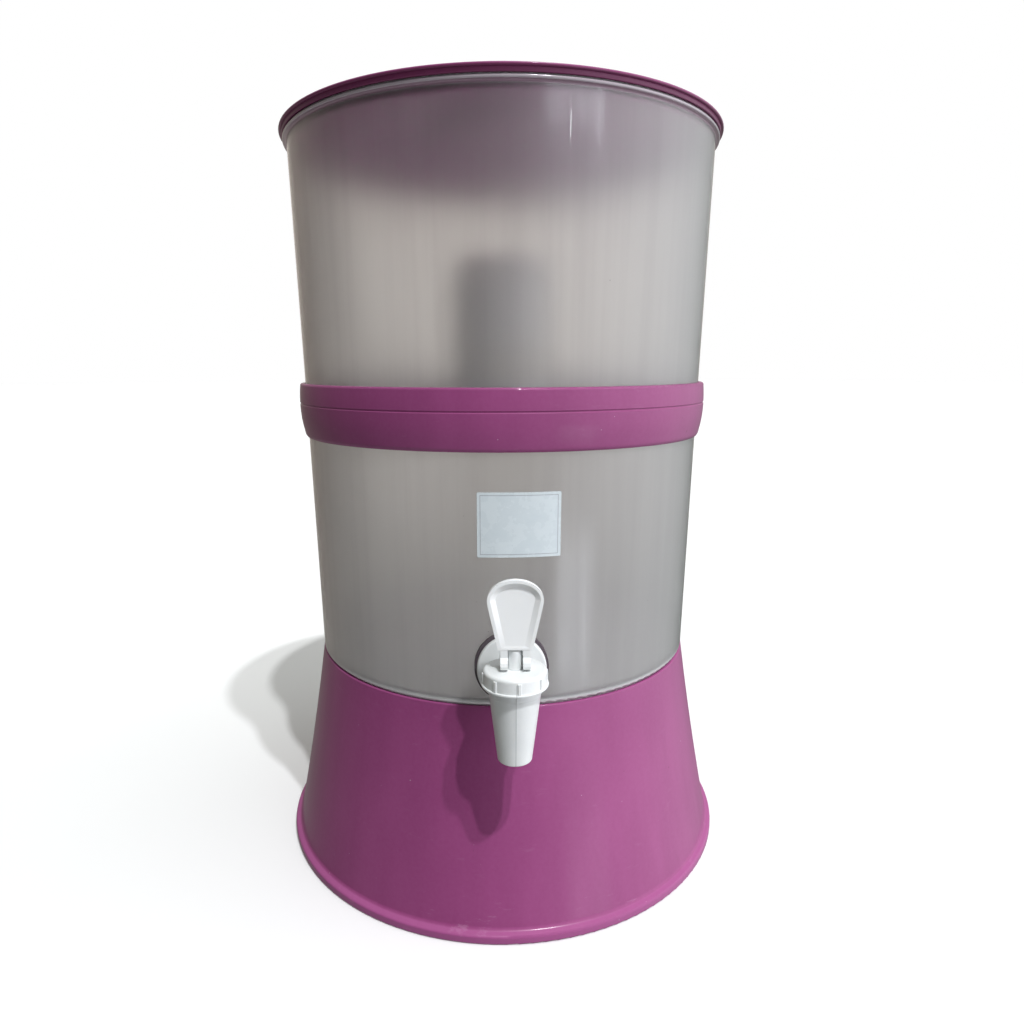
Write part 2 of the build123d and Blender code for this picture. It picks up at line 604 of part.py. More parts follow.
# lever: paddle on a two pronged fork, its foot is a cam that lifts the stem
lean = atan2(paddle_tip_lead - paddle_lead, paddle_top_z + 1.0 - paddle_z0)
paddle_front = Plane(origin=(0, tap_y - paddle_lead, paddle_z0), x_dir=(1, 0, 0),
                     z_dir=(0, -cos(lean), -sin(lean)))
cam = []
for k in range(0, 10):
    a = radians(lever_travel * k / 9.0)
    p = lever_clear + lever_rise * a
    cam.append((tap_y - (p * sin(a) + lever_rise * cos(a)), pin_z - (p * cos(a) - lever_rise * sin(a))))
with BuildPart() as tap_lever:
    # fork, drawn from the side: y forward is negative
    with BuildSketch(Plane.YZ) as s:
        with BuildLine():
            Polyline((tap_y + 4.0, pin_z - lever_clear), *cam, (tap_y - 6.75, pin_z - 2.2),
                     (tap_y - 6.2, pin_z - 0.4), (tap_y - 4.3, pin_z + 2.0), (tap_y - 4.0, paddle_z0 + 1.0),
                     (tap_y + 2.2, paddle_z0 + 1.0), (tap_y + 4.0, pin_z + 1.0), close=True)
        make_face()
        fillet(corners(s, (tap_y + 4.0, pin_z - lever_clear)), 1.5)
    extrude(amount=lever_half, both=True)
    with BuildSketch(Plane.YZ):
        with Locations((tap_y, paddle_z0 - 10.0)):
            Rectangle(30.0, 20.0)
    extrude(amount=lever_gap, both=True, mode=Mode.SUBTRACT)
    # paddle outline from the front
    with BuildSketch(Plane.XZ.offset(-tap_y + 3.0)) as f:
        with BuildLine():
            Line((-paddle_foot_half, paddle_z0), (paddle_foot_half, paddle_z0))
            Line((paddle_foot_half, paddle_z0), (paddle_half - 0.35, paddle_wide_z - 3.0))
            ThreePointArc((paddle_half - 0.35, paddle_wide_z - 3.0), (paddle_half - 0.09, paddle_wide_z - 1.5),
                          (paddle_half, paddle_wide_z))
            EllipticalCenterArc((0, paddle_wide_z), paddle_half, paddle_top_z - paddle_wide_z,
                                start_angle=0, arc_size=180)
            ThreePointArc((-paddle_half, paddle_wide_z), (-paddle_half + 0.09, paddle_wide_z - 1.5),
                          (-paddle_half + 0.35, paddle_wide_z - 3.0))
            Line((-paddle_half + 0.35, paddle_wide_z - 3.0), (-paddle_foot_half, paddle_z0))
        make_face()
    extrude(amount=6.0, both=True)
    # side section of the paddle: blade that leans a little forward
    with BuildSketch(Plane.YZ):
        with BuildLine():
            Polyline((tap_y + 10.0, pin_z - 8.0), (tap_y - 10.0, pin_z - 8.0), (tap_y - 10.0, paddle_z0 - 0.01),
                     (tap_y - paddle_lead, paddle_z0 - 0.01), (tap_y - paddle_tip_lead, paddle_top_z + 1.0),
                     (tap_y - paddle_tip_lead + 3.5, paddle_top_z + 1.0), (tap_y - 1.3, paddle_z0 + 14.0),
                     (tap_y + 2.2, paddle_z0 + 1.0), (tap_y + 2.45, paddle_z0 - 0.01),
                     (tap_y + 10.0, paddle_z0 - 0.01), close=True)
        make_face()
    extrude(amount=20.0, both=True, mode=Mode.INTERSECT)
    # dished front: sloping sides down to a flat floor that starts flush at the foot and
    # gets deeper towards the tip
    dish = []
    fall = atan2(paddle_deep_top - paddle_deep_foot, paddle_top_z - paddle_z0)
    floor_plane = Plane(origin=(0, tap_y - paddle_lead + paddle_deep_foot, paddle_z0), x_dir=(1, 0, 0),
                        z_dir=(0, -cos(lean - fall), -sin(lean - fall)))
    for side, foot, plane in ((1.5, 0.9, paddle_front.offset(0.05)), (4.4, 2.2, floor_plane)):
        with BuildSketch(plane, mode=Mode.PRIVATE) as d:
            with BuildLine():
                top = paddle_top_z - paddle_z0 - side
                wide = paddle_wide_z - paddle_z0
                Line((-(paddle_foot_half - side + 0.1 * foot), foot), (paddle_foot_half - side + 0.1 * foot, foot))
                Line((paddle_foot_half - side + 0.1 * foot, foot), (paddle_half - side, wide))
                EllipticalCenterArc((0, wide), paddle_half - side, top - wide, start_angle=0, arc_size=180)
                Line((-(paddle_half - side), wide), (-(paddle_foot_half - side + 0.1 * foot), foot))
            make_face()
        dish.append(d.sketch.faces()[0])
    loft(sections=dish, ruled=True, mode=Mode.SUBTRACT)
    with BuildSketch(Plane.YZ.offset(-2.5 * lever_half)):
        with Locations((tap_y, pin_z)):
            Circle(pin_bore_r)
    extrude(amount=5 * lever_half, mode=Mode.SUBTRACT)
tap_lever.part.label = "tap_lever"
export_step(tap_lever.part, "parts/tap_lever.step")
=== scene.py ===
import bpy
import json
import math
from mathutils import Matrix, Vector

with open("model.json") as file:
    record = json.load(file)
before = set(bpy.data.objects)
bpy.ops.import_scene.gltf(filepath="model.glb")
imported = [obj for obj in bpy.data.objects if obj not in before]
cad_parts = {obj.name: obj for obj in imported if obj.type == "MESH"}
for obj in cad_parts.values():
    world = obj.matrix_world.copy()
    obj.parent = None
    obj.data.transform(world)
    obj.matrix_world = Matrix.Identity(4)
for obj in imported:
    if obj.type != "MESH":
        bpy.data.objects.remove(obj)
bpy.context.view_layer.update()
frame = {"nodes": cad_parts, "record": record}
nodes = frame["nodes"]
scene = bpy.context.scene

# ------------------------------------------------------------------ camera
# 26 mm lens on a 36 mm frame, half a metre in front of the tap and a little to its left
TURN = math.radians(2.2)
PITCH = math.radians(11.397)
ROLL = math.radians(-0.176)
cam_data = bpy.data.cameras.new("camera")
cam_data.sensor_width = 36.0
cam_data.lens = 36.0 * 741.45 / 1024.0
cam_data.shift_x = (512.0 - 502.16) / 1024.0
cam_data.clip_start, cam_data.clip_end = 0.01, 100.0
cam = bpy.data.objects.new("camera", cam_data)
scene.collection.objects.link(cam)
ahead = Vector((math.sin(TURN), math.cos(TURN), 0.0))
right = Vector((math.cos(TURN), -math.sin(TURN), 0.0))
look = ahead * math.cos(PITCH) + Vector((0, 0, -math.sin(PITCH)))
up = ahead * math.sin(PITCH) + Vector((0, 0, math.cos(PITCH)))
r2 = right * math.cos(ROLL) + up * math.sin(ROLL)
u2 = up * math.cos(ROLL) - right * math.sin(ROLL)
spot = -0.53989 * ahead + Vector((0, 0, 0.33870))
m = Matrix.Identity(4)
for i in range(3):
    m[i][0], m[i][1], m[i][2], m[i][3] = r2[i], u2[i], -look[i], spot[i]
cam.matrix_world = m
scene.camera = cam


# ------------------------------------------------------------ node shorthand
class Net:
    """A material's node tree with short ways to add nodes."""

    def __init__(self, name):
        self.mat = bpy.data.materials.new(name)
        self.mat.use_nodes = True
        self.tree = self.mat.node_tree
        self.tree.nodes.clear()
        self.out = self.tree.nodes.new("ShaderNodeOutputMaterial")
        tc = self.tree.nodes.new("ShaderNodeTexCoord")
        self.pos = tc.outputs["Object"]

    def node(self, kind, **inputs):
        n = self.tree.nodes.new(kind)
        for k, v in inputs.items():
            if k.startswith("p_"):
                setattr(n, k[2:], v)
        for k, v in inputs.items():
            if k.startswith("p_"):
                continue
            key = int(k[1:]) if k[0] == "i" and k[1:].isdigit() else k.replace("_", " ")
            self.put(n.inputs[key], v)
        return n

    def put(self, socket, v):
        if isinstance(v, bpy.types.NodeSocket):
            self.tree.links.new(v, socket)
        else:
            socket.default_value = v

    def scaled(self, x, y, z, at=None):
        """the place stretched by a factor along each axis"""
        n = self.node("ShaderNodeVectorMath", p_operation="MULTIPLY")
        self.put(n.inputs[0], at or self.pos)
        n.inputs[1].default_value = (x, y, z)
        return n.outputs[0]

    def noise(self, at, scale, detail=3.0, rough=0.5, distort=0.0):
        n = self.node("ShaderNodeTexNoise", Scale=scale, Detail=detail, Roughness=rough, Distortion=distort)
        self.put(n.inputs["Vector"], at)
        return n.outputs["Fac"]

    def math(self, op, a, b=0.0, c=0.0, clamp=False):
        n = self.node("ShaderNodeMath", p_operation=op, p_use_clamp=clamp)
        self.put(n.inputs[0], a)
        self.put(n.inputs[1], b)
        self.put(n.inputs[2], c)
        return n.outputs[0]

    def remap(self, v, a, b, c, d):
        """v between a and b becomes c to d, held at the ends"""
        n = self.node("ShaderNodeMapRange", p_clamp=True)
        self.put(n.inputs["Value"], v)
        for k, x in zip(("From Min", "From Max", "To Min", "To Max"), (a, b, c, d)):
            n.inputs[k].default_value = x
        return n.outputs[0]

    def smooth(self, v, a, b, c=0.0, d=1.0):
        n = self.node("ShaderNodeMapRange", p_clamp=True, p_interpolation_type="SMOOTHSTEP")
        self.put(n.inputs["Value"], v)
        for k, x in zip(("From Min", "From Max", "To Min", "To Max"), (a, b, c, d)):
            n.inputs[k].default_value = x
        return n.outputs[0]

    def mix(self, fac, a, b, blend="MIX"):
        n = self.node("ShaderNodeMix", p_data_type="RGBA", p_blend_type=blend)
        self.put(n.inputs[0], fac)
        self.put(n.inputs[6], a)
        self.put(n.inputs[7], b)
        return n.outputs[2]

    def xyz(self, at=None):
        n = self.node("ShaderNodeSeparateXYZ")
        self.put(n.inputs[0], at or self.pos)
        return n.outputs

    def specks(self, scale, size, share, seed=0.0):
        """sparse round specks: 1 in a speck, 0 outside"""
        at = self.node("ShaderNodeVectorMath", p_operation="ADD")
        self.put(at.inputs[0], self.pos)
        at.inputs[1].default_value = (seed, seed * 1.7, seed * 0.6)
        v = self.node("ShaderNodeTexVoronoi", Scale=scale)
        self.put(v.inputs["Vector"], at.outputs[0])
        tone = self.node("ShaderNodeSeparateColor")
        self.put(tone.inputs[0], v.outputs["Color"])
        kept = self.math("LESS_THAN", tone.outputs[0], share)
        reach = self.math("MULTIPLY_ADD", tone.outputs[1], size * 0.7, size * 0.3)
        near = self.math("SUBTRACT", 1.0, self.math("DIVIDE", v.outputs["Distance"], reach), clamp=True)
        return self.math("MULTIPLY", self.smooth(near, 0.0, 0.5), kept)

    def bump(self, height, distance, strength=1.0, under=None):
        n = self.node("ShaderNodeBump", Strength=strength, Distance=distance)
        self.put(n.inputs["Height"], height)
        if under is not None:
            self.put(n.inputs["Normal"], under)
        return n.outputs[0]

    def principled(self, **inputs):
        n = self.node("ShaderNodeBsdfPrincipled")
        for k, v in inputs.items():
            self.put(n.inputs[k.replace("_", " ")], v)
        self.tree.links.new(n.outputs[0], self.out.inputs["Surface"])
        return n


def rgb(r, g, b):
    return (r, g, b, 1.0)


# ---------------------------------------------------------- magenta plastic
def magenta_plastic():
    """glossy injection moulded polypropylene with flow streaks, orange peel and a few scuffs"""
    n = Net("magenta_plastic")
    x, y, z = n.xyz()
    cloud = n.noise(n.pos, 7.0, 3.0, 0.55)
    streak = n.noise(n.scaled(60.0, 60.0, 2.2), 1.0, 4.0, 0.6)
    grain = n.noise(n.pos, 420.0, 2.0, 0.5)
    base = n.mix(n.remap(cloud, 0.35, 0.65, 0.0, 1.0), rgb(0.300, 0.061, 0.194), rgb(0.342, 0.075, 0.224))
    base = n.mix(n.remap(streak, 0.38, 0.66, 0.0, 0.30), base, rgb(0.258, 0.049, 0.165))
    base = n.mix(n.remap(grain, 0.3, 0.7, 0.0, 0.10), base, rgb(0.42, 0.13, 0.30))
    # dust and pale scuffs, most of them low on the stand's foot
    low = n.smooth(z, 0.030, 0.004)
    rub = n.smooth(n.noise(n.scaled(1.0, 1.0, 3.5), 55.0, 6.0, 0.72), 0.60, 0.72)
    rub = n.math("MULTIPLY", rub, n.math("MULTIPLY_ADD", low, 0.16, 0.06))
    base = n.mix(rub, base, rgb(0.62, 0.36, 0.52))
    dark = n.specks(170.0, 0.16, 0.045, 3.1)
    base = n.mix(n.math("MULTIPLY", dark, 0.55), base, rgb(0.12, 0.04, 0.09))
    # the lid's skirt band is painted darker, a painted shade for the shadow under the lid's edge; its very top edge
    # keeps the base tone
    reach = n.math("SQRT", n.math("ADD", n.math("MULTIPLY", x, x), n.math("MULTIPLY", y, y)))
    skirt_shade = n.math("MULTIPLY", n.smooth(z, 0.4770, 0.4780), n.smooth(reach, 0.1395, 0.1405))
    skirt_shade = n.math("MULTIPLY", skirt_shade, n.smooth(z, 0.4818, 0.4811))
    base = n.mix(n.math("MULTIPLY", skirt_shade, 0.60), base, rgb(0.130, 0.022, 0.062))
    # the lid's downward-facing underside inside the rim is painted a brighter magenta, a painted light for the light
    # that reaches it through the walls
    underside_light = n.math("MULTIPLY", n.smooth(z, 0.4710, 0.4715), n.smooth(reach, 0.1385, 0.1380))
    facing = n.xyz(n.tree.nodes.new("ShaderNodeNewGeometry").outputs["True Normal"])[2]
    underside_light = n.math("MULTIPLY", underside_light, n.smooth(facing, -0.1, -0.5))
    base = n.mix(n.math("MULTIPLY", underside_light, 0.8), base, rgb(0.560, 0.105, 0.385))
    # the foot's rounded edge is painted a paler pink, a painted highlight where it catches the light from above
    bead_highlight = n.math("MULTIPLY", n.smooth(z, 0.0080, 0.0070), n.smooth(reach, 0.1562, 0.1570))
    base = n.mix(n.math("MULTIPLY", bead_highlight, 0.32), base, rgb(0.47, 0.125, 0.340))
    dust = n.specks(260.0, 0.13, 0.030, 9.4)
    base = n.mix(n.math("MULTIPLY", dust, 0.5), base, rgb(0.72, 0.55, 0.66))
    rough = n.remap(n.noise(n.scaled(9.0, 9.0, 5.0), 1.0, 4.0, 0.6), 0.3, 0.7, 0.30, 0.40)
    rough = n.math("ADD", rough, n.math("MULTIPLY", streak, 0.05))
    rough = n.math("ADD", rough, n.math("MULTIPLY", rub, 0.5))
    peel = n.noise(n.pos, 700.0, 2.0, 0.5)
    h = n.math("ADD", n.math("MULTIPLY", peel, 0.25), n.math("MULTIPLY", streak, 1.0))
    n.principled(Base_Color=base, Roughness=rough, IOR=1.49, Specular_IOR_Level=0.2,
                 Coat_Weight=0.25, Coat_Roughness=0.14, Coat_IOR=1.49, Normal=n.bump(h, 0.00008, 0.55))
    return n.mat


# ----------------------------------------------------- frosted polypropylene
def frosted_plastic():
    """hazy translucent polypropylene: drawing streaks down the wall, faint clouds, scratches and dust"""
    n = Net("frosted_plastic")
    x, y, z = n.xyz()
    cloud = n.noise(n.pos, 9.0, 3.0, 0.55)
    streak = n.noise(n.scaled(95.0, 95.0, 1.6), 1.0, 5.0, 0.65)
    broad = n.noise(n.scaled(24.0, 24.0, 0.8), 1.0, 2.0, 0.5)
    base = n.mix(n.remap(cloud, 0.35, 0.65, 0.0, 1.0), rgb(0.920, 0.918, 0.920), rgb(0.950, 0.948, 0.948))
    base = n.mix(n.remap(streak, 0.42, 0.66, 0.0, 0.60), base, rgb(0.80, 0.79, 0.80))
    base = n.mix(n.remap(broad, 0.40, 0.66, 0.0, 0.25), base, rgb(0.97, 0.968, 0.965))
    # short upright scratches and dust
    sc = n.noise(n.scaled(900.0, 900.0, 22.0), 1.0, 0.0, 0.5)
    where = n.smooth(n.noise(n.scaled(30.0, 30.0, 14.0), 1.0, 2.0, 0.5), 0.60, 0.68)
    sc = n.math("MULTIPLY", n.smooth(sc, 0.74, 0.82), where)
    base = n.mix(n.math("MULTIPLY", sc, 0.5), base, rgb(0.93, 0.93, 0.95))
    dust = n.specks(150.0, 0.10, 0.030, 5.3)
    base = n.mix(n.math("MULTIPLY", dust, 0.6), base, rgb(0.20, 0.17, 0.19))
    rough = n.remap(n.noise(n.pos, 16.0, 4.0, 0.6), 0.3, 0.7, 0.26, 0.33)
    rough = n.math("ADD", rough, n.math("MULTIPLY", streak, 0.05))
    h = n.math("ADD", n.math("MULTIPLY", streak, 1.0), n.math("MULTIPLY", n.noise(n.pos, 600.0, 2.0, 0.5), 0.12))
    # the wall is clearest; the floor's thick corner and the rim's flange scatter more
    reach = n.math("SQRT", n.math("ADD", n.math("MULTIPLY", x, x), n.math("MULTIPLY", y, y)))
    flange = n.smooth(z, 0.4738, 0.4750)
    # the underside of the rim's flange is painted dark purple, a painted shade carrying the colour of the lid above
    # it
    under = n.math("MULTIPLY", flange, n.smooth(z, 0.4766, 0.4760))
    base = n.mix(n.math("MULTIPLY", under, 0.85), base, rgb(0.36, 0.15, 0.27))
    # the flange's outer lip is painted a purplish grey darker than the wall, a painted shade tinted by the lid
    lip_shade = n.math("MULTIPLY", flange, n.smooth(reach, 0.1418, 0.1422))
    base = n.mix(lip_shade, base, rgb(0.60, 0.52, 0.58))
    thick = n.math("MAXIMUM", n.math("MULTIPLY", n.smooth(z, 0.1450, 0.1405), n.smooth(z, 0.128, 0.129)), flange)
    # one long upright scratch at the front, under the lid
    nick = n.math("MULTIPLY", n.smooth(n.math("ABSOLUTE", n.math("SUBTRACT", x, n.math("MULTIPLY_ADD", z, 0.02, 0.0209))), 0.00040, 0.00010),
                  n.math("MULTIPLY", n.smooth(z, 0.4440, 0.4560), n.smooth(z, 0.4640, 0.4620)))
    nick = n.math("MULTIPLY", nick, n.smooth(y, -0.10, -0.12))
    base = n.mix(n.math("MULTIPLY", nick, 0.9), base, rgb(0.99, 0.99, 1.0))
    thick = n.math("MAXIMUM", thick, nick)
    through = n.math("MULTIPLY_ADD", thick, -0.60, 0.92)
    n.principled(Base_Color=base, Roughness=rough, IOR=1.45, Transmission_Weight=through,
                 Coat_Weight=1.0, Coat_Roughness=0.10, Coat_IOR=1.45,
                 Normal=n.bump(h, 0.00016, 0.8))
    return n.mat


# ------------------------------------------------------------- white plastic
def white_plastic():
    """satin white moulding, a little uneven in tone, with a few dark specks"""
    n = Net("white_plastic")
    x, y, z = n.xyz()
    cloud = n.noise(n.pos, 60.0, 3.0, 0.55)
    fine = n.noise(n.pos, 900.0, 2.0, 0.5)
    base = n.mix(n.remap(cloud, 0.3, 0.7, 0.0, 1.0), rgb(0.790, 0.812, 0.815), rgb(0.845, 0.865, 0.862))
    base = n.mix(n.remap(fine, 0.35, 0.7, 0.0, 0.12), base, rgb(0.70, 0.72, 0.71))
    spot_ = n.specks(700.0, 0.14, 0.03, 1.3)
    base = n.mix(n.math("MULTIPLY", spot_, 0.35), base, rgb(0.30, 0.30, 0.29))
    # the paddle is painted whiter, a painted light for the light shining through its thin plastic, and a parting
    # line runs down the spout
    base = n.mix(n.smooth(z, 0.1895, 0.1915, 0.0, 0.75), base, rgb(0.935, 0.945, 0.945))
    seam = n.math("MULTIPLY", n.smooth(n.math("ABSOLUTE", x), 0.00035, 0.00012), n.smooth(y, -0.172, -0.174))
    seam = n.math("MULTIPLY", seam, n.smooth(z, 0.1775, 0.1765))
    base = n.mix(n.math("MULTIPLY", seam, 0.55), base, rgb(0.42, 0.44, 0.44))
    rough = n.remap(n.noise(n.pos, 140.0, 3.0, 0.6), 0.3, 0.7, 0.30, 0.42)
    h = n.math("ADD", n.noise(n.pos, 1400.0, 2.0, 0.5), n.math("MULTIPLY", cloud, 1.5))
    p = n.principled(Base_Color=base, Roughness=rough, IOR=1.49,
                     Subsurface_Weight=0.12, Subsurface_Scale=0.002, Normal=n.bump(h, 0.00003, 0.5))
    p.inputs["Subsurface Radius"].default_value = (1.0, 0.9, 0.8)
    return n.mat


def dark_rubber():
    n = Net("dark_rubber")
    fine = n.noise(n.pos, 1300.0, 4.0, 0.65)
    cloud = n.noise(n.pos, 110.0, 3.0, 0.6)
    base = n.mix(n.remap(cloud, 0.3, 0.7, 0.0, 1.0), rgb(0.060, 0.045, 0.056), rgb(0.105, 0.082, 0.098))
    bloom = n.smooth(fine, 0.56, 0.74)
    base = n.mix(n.math("MULTIPLY", bloom, 0.35), base, rgb(0.22, 0.19, 0.21))
    rough = n.remap(fine, 0.3, 0.7, 0.62, 0.80)
    n.principled(Base_Color=base, Roughness=rough, IOR=1.5, Normal=n.bump(fine, 0.00008, 0.6))
    return n.mat


def white_ceramic():
    """porous fired clay: off white, pitted, a little stained where water stands"""
    n = Net("white_ceramic")
    x, y, z = n.xyz()
    cloud = n.noise(n.pos, 38.0, 4.0, 0.6)
    pits = n.specks(900.0, 0.22, 0.35, 2.0)
    base = n.mix(n.remap(cloud, 0.3, 0.7, 0.0, 1.0), rgb(0.84, 0.81, 0.76), rgb(0.90, 0.88, 0.84))
    stain = n.math("MULTIPLY", n.smooth(z, 0.365, 0.325), n.remap(cloud, 0.35, 0.65, 0.2, 0.7))
    base = n.mix(stain, base, rgb(0.76, 0.68, 0.55))
    # the pits are painted darker, a painted shade in their hollows
    base = n.mix(n.math("MULTIPLY", pits, 0.45), base, rgb(0.45, 0.41, 0.36))
    h = n.math("SUBTRACT", n.noise(n.pos, 620.0, 5.0, 0.65), n.math("MULTIPLY", pits, 0.6))
    n.principled(Base_Color=base, Roughness=n.remap(cloud, 0.3, 0.7, 0.82, 0.95), IOR=1.45,
                 Specular_IOR_Level=0.3, Normal=n.bump(h, 0.0003, 0.6))
    return n.mat


def candle_plastic():
    n = Net("candle_plastic")
    cloud = n.noise(n.pos, 70.0, 3.0, 0.6)
    base = n.mix(n.remap(cloud, 0.3, 0.7, 0.0, 1.0), rgb(0.60, 0.62, 0.65), rgb(0.70, 0.71, 0.73))
    fine = n.noise(n.pos, 1100.0, 2.0, 0.5)
    base = n.mix(n.remap(fine, 0.4, 0.7, 0.0, 0.15), base, rgb(0.45, 0.46, 0.48))
    n.principled(Base_Color=base, Roughness=n.remap(cloud, 0.3, 0.7, 0.40, 0.52), IOR=1.49,
                 Normal=n.bump(fine, 0.00004, 0.5))
    return n.mat


def carbon():
    n = Net("carbon")
    grit = n.noise(n.pos, 1200.0, 5.0, 0.7)
    cell = n.node("ShaderNodeTexVoronoi", Scale=900.0)
    n.put(cell.inputs["Vector"], n.pos)
    base = n.mix(n.remap(grit, 0.35, 0.7, 0.0, 1.0), rgb(0.012, 0.012, 0.013), rgb(0.060, 0.058, 0.056))
    h = n.math("ADD", grit, n.math("MULTIPLY", cell.outputs["Distance"], 0.7))
    n.principled(Base_Color=base, Roughness=n.remap(grit, 0.3, 0.7, 0.75, 0.95), IOR=1.45, Normal=n.bump(h, 0.0004, 0.7))
    return n.mat


def spring_steel():
    n = Net("spring_steel")
    fine = n.noise(n.pos, 2500.0, 3.0, 0.6)
    cloud = n.noise(n.pos, 300.0, 3.0, 0.6)
    base = n.mix(n.remap(cloud, 0.3, 0.7, 0.0, 1.0), rgb(0.50, 0.50, 0.51), rgb(0.66, 0.65, 0.63))
    n.principled(Base_Color=base, Metallic=1.0, Roughness=n.remap(fine, 0.3, 0.7, 0.22, 0.38),
                 Normal=n.bump(fine, 0.00002, 0.4))
    return n.mat


def label_film():
    """plain white gloss film with a thin grey keyline inside its edge"""
    n = Net("label_film")
    x, y, z = n.xyz()
    t = math.radians(1.9)
    across = n.math("ADD", n.math("MULTIPLY", x, math.cos(t)), n.math("MULTIPLY", y, math.sin(t)))
    du = n.math("SUBTRACT", 0.02375, n.math("ABSOLUTE", across))
    dv = n.math("SUBTRACT", 0.01875, n.math("ABSOLUTE", n.math("SUBTRACT", z, 0.2494)))
    edge = n.math("MINIMUM", du, dv)
    line = n.math("MULTIPLY", n.smooth(edge, 0.00155, 0.00165), n.smooth(edge, 0.00205, 0.00195))
    cloud = n.noise(n.pos, 120.0, 3.0, 0.6)
    base = n.mix(n.remap(cloud, 0.3, 0.7, 0.0, 1.0), rgb(0.66, 0.735, 0.77), rgb(0.72, 0.79, 0.82))
    base = n.mix(n.math("MULTIPLY", line, 0.75), base, rgb(0.30, 0.31, 0.34))
    wear = n.math("MULTIPLY", n.smooth(edge, 0.0009, 0.0001), n.smooth(n.noise(n.pos, 800.0, 4.0, 0.7), 0.45, 0.65))
    base = n.mix(n.math("MULTIPLY", wear, 0.5), base, rgb(0.55, 0.56, 0.57))
    ripple = n.noise(n.pos, 90.0, 2.0, 0.5)
    n.principled(Base_Color=base, Roughness=n.remap(cloud, 0.3, 0.7, 0.22, 0.32), IOR=1.49,
                 Normal=n.bump(ripple, 0.0002, 0.35))
    return n.mat


MAKERS = {
    "magenta_plastic": magenta_plastic, "frosted_plastic": frosted_plastic, "white_plastic": white_plastic,
    "dark_rubber": dark_rubber, "white_ceramic": white_ceramic, "candle_plastic": candle_plastic,
    "carbon": carbon, "spring_steel": spring_steel, "label_film": label_film,
}
mats = {k: f() for k, f in MAKERS.items()}
slots = {s["node"]: s["material_slot"] for s in frame["record"]["subparts"]}
for name, obj in nodes.items():
    obj.data.materials.clear()
    obj.data.materials.append(mats[slots[name]])

# the moulded edges of the tap are a little rounded
for name, width in (("tap_lever", 0.00060), ("tap_bonnet", 0.00020), ("tap_body", 0.00020)):
    bev = nodes[name].modifiers.new("soft_edges", "BEVEL")
    bev.width, bev.segments, bev.limit_method = width, 3, "ANGLE"
    bev.angle_limit = math.radians(28.0)
    bev.harden_normals = True
    bev.use_clamp_overlap = True

# ------------------------------------------------------------------- floor
floor_mesh = bpy.data.meshes.new("floor")
ring = [(14.0 * math.cos(2 * math.pi * k / 96), 14.0 * math.sin(2 * math.pi * k / 96), -0.0002) for k in range(96)]
floor_mesh.from_pydata(ring, [], [tuple(range(96))])
floor = bpy.data.objects.new("floor", floor_mesh)
scene.collection.objects.link(floor)
fn = Net("floor")
tone = fn.mix(fn.remap(fn.noise(fn.pos, 2.0, 2.0), 0.3, 0.7, 0.0, 1.0), rgb(0.91, 0.91, 0.91), rgb(0.94, 0.94, 0.94))
fn.principled(Base_Color=tone, Roughness=0.7, Specular_IOR_Level=0.2)
floor_mesh.materials.append(fn.mat)
# the room's own light does the lighting, so the floor is seen but throws none back
floor.visible_diffuse = floor.visible_glossy = floor.visible_transmission = False


# ------------------------------------------------------------------- light
def sun(name, azimuth, elevation, angle, strength, colour=(1, 1, 1)):
    d = bpy.data.lights.new(name, "SUN")
    d.angle = math.radians(angle)
    d.energy, d.color = strength, colour
    o = bpy.data.objects.new(name, d)
    a, e = math.radians(azimuth), math.radians(elevation)
    way = Vector((math.sin(a) * math.cos(e), -math.cos(a) * math.cos(e), math.sin(e)))
    o.location = way * 3.0
    o.rotation_mode = "QUATERNION"
    o.rotation_quaternion = way.to_track_quat("Z", "Y")
    scene.collection.objects.link(o)
    return o


SUNS = [  # azimuth, elevation, angle, strength rgb
    (22.0, 60.0, 1.4, (1.16, 1.18, 1.19)),
    (31.0, 60.0, 1.4, (1.10, 1.12, 1.16)),
]
for k, (az, el, ang, col) in enumerate(SUNS):
    top = max(col)
    if top > 0:
        sun(f"key_{k}", az, el, ang, top, tuple(c / top for c in col))

LOBES = [  # azimuth, elevation, sharpness, colour: soft light of the room from each side
    (0.0, 10.0, 3.0, (0.0, 0.0, 0.0)),
    (55.0, 10.0, 3.0, (0.96, 0.94, 1.01)),
    (90.0, 10.0, 3.0, (1.10, 1.13, 1.15)),
    (135.0, 10.0, 3.0, (0.08, 0.09, 0.08)),
    (180.0, 10.0, 12.0, (0.78, 0.72, 0.66)),
    (225.0, 10.0, 3.0, (0.27, 0.23, 0.20)),
    (315.0, 10.0, 3.0, (0.03, 0.03, 0.02)),
    (0.0, 90.0, 2.0, (0.50, 0.53, 0.50)),
    (0.0, -90.0, 2.0, (0.78, 0.82, 0.81)),
]
world = bpy.data.worlds.new("studio")
world.use_nodes = True
wt = world.node_tree
wt.nodes.clear()
wout = wt.nodes.new("ShaderNodeOutputWorld")
wdir = wt.nodes.new("ShaderNodeTexCoord").outputs["Generated"]
total = None
